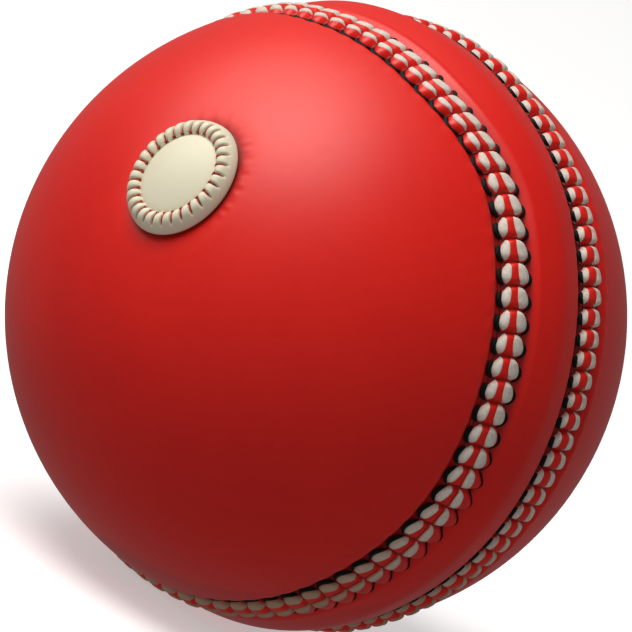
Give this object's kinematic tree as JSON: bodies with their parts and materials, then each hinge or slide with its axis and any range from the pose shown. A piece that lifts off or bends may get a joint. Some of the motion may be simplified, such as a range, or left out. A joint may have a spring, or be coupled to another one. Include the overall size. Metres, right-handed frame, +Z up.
{
  "type": "cricket ball",
  "caption": "Red leather cricket ball with a wound cork core, raised stitched seams either side of a centre belt, and a round cream leather badge with a gathered edge.",
  "frame": {"origin": "centre of the ball", "axes": "Y is the axis that both seams run round, with -Y towards the front cap that carries the badge; +Z is up, and the badge is above the front cap's middle; +X completes a right-handed frame"},
  "size_m": [0.0728, 0.0729, 0.0728],
  "materials": {
    "core_cork_rubber": "moulded cork and rubber, matt",
    "yarn": "tightly wound worsted yarn",
    "cork": "pressed cork sheet",
    "lining_leather": "thin undyed leather, suede side",
    "red_leather": "polished red-dyed leather, semi-gloss",
    "white_thread": "white twisted linen thread, slightly soiled",
    "dark_thread": "dark waxed thread",
    "cream_leather": "cream leather, semi-matt",
    "red_thread": "dark red twisted thread",
    "felt": "wool felt pad"
  },
  "bodies": {
    "root": {"core_nucleus": "core_cork_rubber", "inner_yarn_winding": "yarn", "middle_yarn_winding": "yarn", "outer_yarn_winding": "yarn", "inner_cork_half_front": "cork", "inner_cork_half_rear": "cork", "outer_cork_half_front": "cork", "outer_cork_half_rear": "cork", "front_cap_lining": "lining_leather", "rear_cap_lining": "lining_leather", "belt_lining": "lining_leather", "front_cap": "red_leather", "rear_cap": "red_leather", "centre_belt": "red_leather", "front_seam_welt": "red_leather", "rear_seam_welt": "red_leather", "front_stitches_cap_side": "white_thread", "front_stitches_belt_side": "white_thread", "rear_stitches_cap_side": "white_thread", "rear_stitches_belt_side": "white_thread", "front_needle_threads_cap_side": "dark_thread", "front_needle_threads_belt_side": "dark_thread", "rear_needle_threads_cap_side": "dark_thread", "rear_needle_threads_belt_side": "dark_thread", "badge_cover": "cream_leather", "badge_gathers": "cream_leather", "badge_rim": "cream_leather", "badge_radial_threads": "red_thread", "badge_ring_threads": "red_thread", "badge_padding": "felt"}
  },
  "joints": []
}
